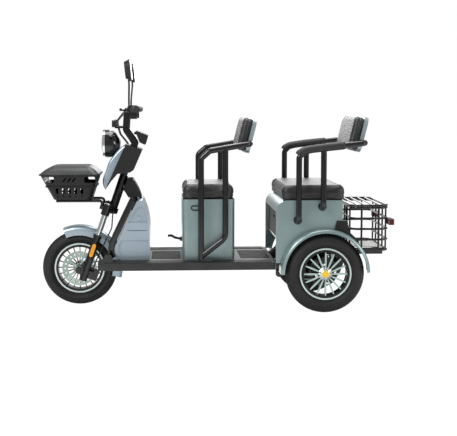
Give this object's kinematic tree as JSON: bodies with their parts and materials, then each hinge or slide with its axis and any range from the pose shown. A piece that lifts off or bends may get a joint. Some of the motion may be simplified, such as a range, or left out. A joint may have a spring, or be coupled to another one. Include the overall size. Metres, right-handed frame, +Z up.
{
  "type": "electric tricycle scooter",
  "caption": "Three-wheeled electric scooter with a step-through deck, rider's seat, rear bench, lidded front basket and wire rear cage, steered by a handlebar.",
  "frame": {"origin": "on the ground, under the middle of the vehicle", "axes": "+Z up, -X to the front, -Y to the rider's left"},
  "size_m": [1.9523, 0.7, 1.3697],
  "materials": {
    "amber": "moulded lens",
    "battery_case": "moulded",
    "black_metal": "gloss paint",
    "black_plastic": "moulded",
    "cable_rubber": "smooth",
    "chrome": "polished",
    "deck_plastic": "ribbed",
    "disc_steel": "brushed",
    "front_rim": "satin",
    "gloss_black": "gloss",
    "lens": "clear",
    "lid_grey": "satin",
    "mirror": "polished",
    "pale_plate": "satin",
    "rear_rim": "machined",
    "red_lens": "moulded lens",
    "rubber_grip": "ribbed",
    "seat_leather": "grained",
    "silver_blue": "metallic paint",
    "silver_shell": "metallic paint",
    "teal_grey": "metallic paint",
    "tyre": "matt"
  },
  "bodies": {
    "frame": {"battery_block": "battery_case", "cage_tray": "pale_plate", "chassis_frame": "black_metal", "deck": "deck_plastic", "driver_arms": "black_metal", "driver_back_pad": "seat_leather", "driver_back_shell": "silver_shell", "driver_seat_box": "teal_grey", "leg_shield": "silver_blue", "leg_shield_rail": "gloss_black", "neck_cover": "black_plastic", "parking_brake": "black_plastic", "rear_arms": "black_metal", "rear_axle": "black_metal", "rear_back_pad": "seat_leather", "rear_back_shell": "silver_shell", "rear_body": "teal_grey", "rear_cage": "black_metal", "rear_corner_trim": "black_plastic", "rear_cushion": "seat_leather", "rear_fenders": "teal_grey", "seat_box_trim": "black_plastic", "swing_arms": "black_metal", "tail_lamps": "red_lens"},
    "steering": {"front_axle": "black_metal", "fork_crown": "black_metal", "fork_stanchions": "chrome", "fork_sliders": "black_metal", "fork_reflectors": "amber", "brake_caliper": "black_metal", "front_fender": "silver_blue", "handlebar_stem": "black_metal", "handlebar": "black_metal", "grips": "rubber_grip", "bar_controls": "black_plastic", "mirrors": "black_plastic", "mirror_glass": "mirror", "display": "black_plastic", "turn_signals": "black_plastic", "control_cables": "cable_rubber", "headlight_bowl": "gloss_black", "headlight_rim": "chrome", "headlight_lens": "lens", "fairing": "silver_blue", "glove_box": "black_plastic", "front_basket": "black_plastic", "basket_carrier": "black_metal"},
    "front_wheel": {"front_tyre": "tyre", "front_rim": "front_rim", "brake_disc": "disc_steel"},
    "rear_wheel_left": {"rear_tyre_left": "tyre", "rear_rim_left": "rear_rim"},
    "rear_wheel_right": {"rear_tyre_right": "tyre", "rear_rim_right": "rear_rim"},
    "basket_lid": {"basket_lid": "lid_grey"},
    "driver_seat": {"driver_cushion": "seat_leather"},
    "rear_hatch": {"rear_hatch": "black_plastic"},
    "cage_lid": {"cage_lid": "black_metal"}
  },
  "joints": [
    {"name": "steering_turn", "type": "hinge", "parent": "frame", "child": "steering", "pos_m": [-0.545, 0, 0.64], "axis": [0.3256, 0, 0.9455], "range_deg": [-35, 35]},
    {"name": "front_wheel_spin", "type": "hinge", "parent": "steering", "child": "front_wheel", "pos_m": [-0.766, 0, 0.21], "axis": [0, 1, 0], "continuous": true},
    {"name": "rear_wheel_left_spin", "type": "hinge", "parent": "frame", "child": "rear_wheel_left", "pos_m": [0.584, -0.3, 0.215], "axis": [0, 1, 0], "continuous": true},
    {"name": "rear_wheel_right_spin", "type": "hinge", "parent": "frame", "child": "rear_wheel_right", "pos_m": [0.584, 0.3, 0.215], "axis": [0, 1, 0], "continuous": true},
    {"name": "basket_lid_hinge", "type": "hinge", "parent": "steering", "child": "basket_lid", "pos_m": [-0.646, 0, 0.7473], "axis": [0, 1, 0], "range_deg": [0, 60]},
    {"name": "driver_seat_hinge", "type": "hinge", "parent": "frame", "child": "driver_seat", "pos_m": [-0.193, 0, 0.6123], "axis": [0, -1, 0], "range_deg": [0, 80]},
    {"name": "rear_hatch_hinge", "type": "hinge", "parent": "frame", "child": "rear_hatch", "pos_m": [0.338, 0, 0.395], "axis": [0, -1, 0], "range_deg": [0, 85]},
    {"name": "cage_lid_hinge", "type": "hinge", "parent": "frame", "child": "cage_lid", "pos_m": [0.737, 0, 0.5703], "axis": [0, -1, 0], "range_deg": [0, 95]}
  ]
}
